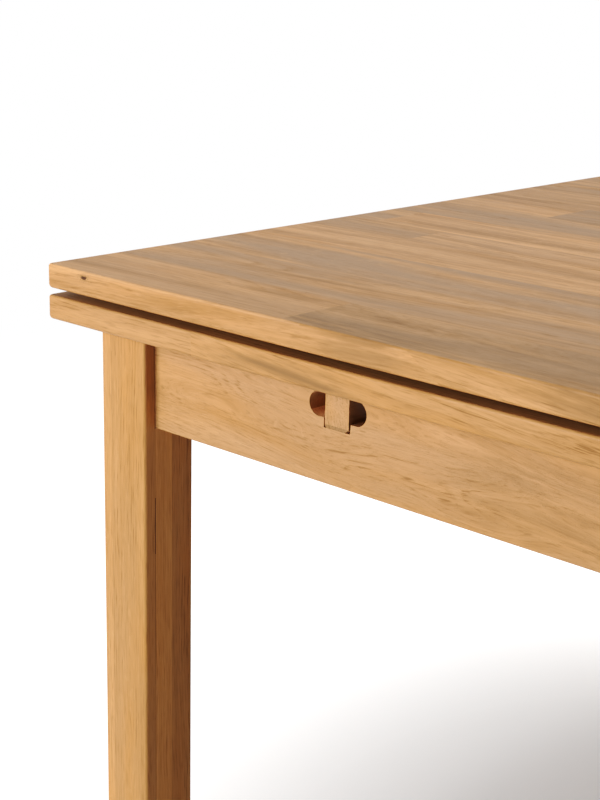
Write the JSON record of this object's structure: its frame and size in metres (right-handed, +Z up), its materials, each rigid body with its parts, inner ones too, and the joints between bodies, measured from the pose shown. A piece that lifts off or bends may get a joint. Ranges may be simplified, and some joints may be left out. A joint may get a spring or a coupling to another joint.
{
  "type": "draw leaf table",
  "caption": "Oak table with a loose top over leaves that draw out at both ends on tapered runners, through notched end aprons with finger slots, on square legs.",
  "frame": {"origin": "on the floor under the middle of the table", "axes": "+Z up, +X to the right along the front end, the front leaf draws towards -Y"},
  "size_m": [0.9, 1.2, 0.75],
  "materials": {
    "oak_top": "oiled oak staves, satin",
    "oak_leaf": "oiled oak staves, satin",
    "oak_leg": "oiled laminated oak, satin",
    "oak_apron": "oiled oak, satin",
    "oak_runner": "planed oak, oiled at the end",
    "oak_inner": "planed oak, unfinished",
    "beech_peg": "turned beech dowel, unfinished",
    "felt": "pressed wool felt",
    "zinc_steel": "zinc plated",
    "glide": "moulded nylon"
  },
  "bodies": {
    "frame": {"leg_front_left": "oak_leg", "leg_front_right": "oak_leg", "leg_back_left": "oak_leg", "leg_back_right": "oak_leg", "end_apron_front": "oak_apron", "end_apron_back": "oak_apron", "side_apron_left": "oak_apron", "side_apron_right": "oak_apron", "centre_bearer": "oak_inner", "centre_rail": "oak_inner", "corner_block_front_left": "oak_inner", "corner_block_front_right": "oak_inner", "corner_block_back_left": "oak_inner", "corner_block_back_right": "oak_inner", "packing_strip_front": "oak_inner", "packing_strip_back": "oak_inner", "felt_strip_front": "felt", "felt_strip_back": "felt", "bearer_screws": "zinc_steel", "corner_block_screws": "zinc_steel", "hanger_bolts": "zinc_steel", "hanger_washers": "zinc_steel", "hanger_nuts": "zinc_steel", "leg_glides": "glide"},
    "leaf_front": {"leaf_front": "oak_leaf", "runner_front_left": "oak_runner", "runner_front_right": "oak_runner", "runner_screws_front": "zinc_steel", "stop_pegs_front": "beech_peg"},
    "leaf_back": {"leaf_back": "oak_leaf", "runner_back_left": "oak_runner", "runner_back_right": "oak_runner", "runner_screws_back": "zinc_steel", "stop_pegs_back": "beech_peg"},
    "dowels": {"locating_dowels": "beech_peg"},
    "top": {"table_top": "oak_top"}
  },
  "joints": [
    {"name": "leaf_front_draw", "type": "slide", "parent": "frame", "child": "leaf_front", "axis": [0, -0.9976, 0.0698], "range_m": [0, 0.40097]},
    {"name": "leaf_back_draw", "type": "slide", "parent": "frame", "child": "leaf_back", "axis": [0, 0.9976, 0.0698], "range_m": [0, 0.40097]},
    {"name": "top_rise_front", "type": "hinge", "parent": "frame", "child": "dowels", "pos_m": [0, 0.596, 0.732], "axis": [-1, 0, 0], "range_deg": [0, 1.11]},
    {"name": "top_rise_back", "type": "hinge", "parent": "dowels", "child": "top", "pos_m": [0, -0.596, 0.732], "axis": [1, 0, 0], "range_deg": [0, 1.11]}
  ],
  "couplings": [
    {"joint": "top_rise_front", "follows": "leaf_front_draw", "rad_per_m": 0.04744},
    {"joint": "top_rise_back", "follows": "leaf_back_draw", "rad_per_m": 0.04744}
  ]
}
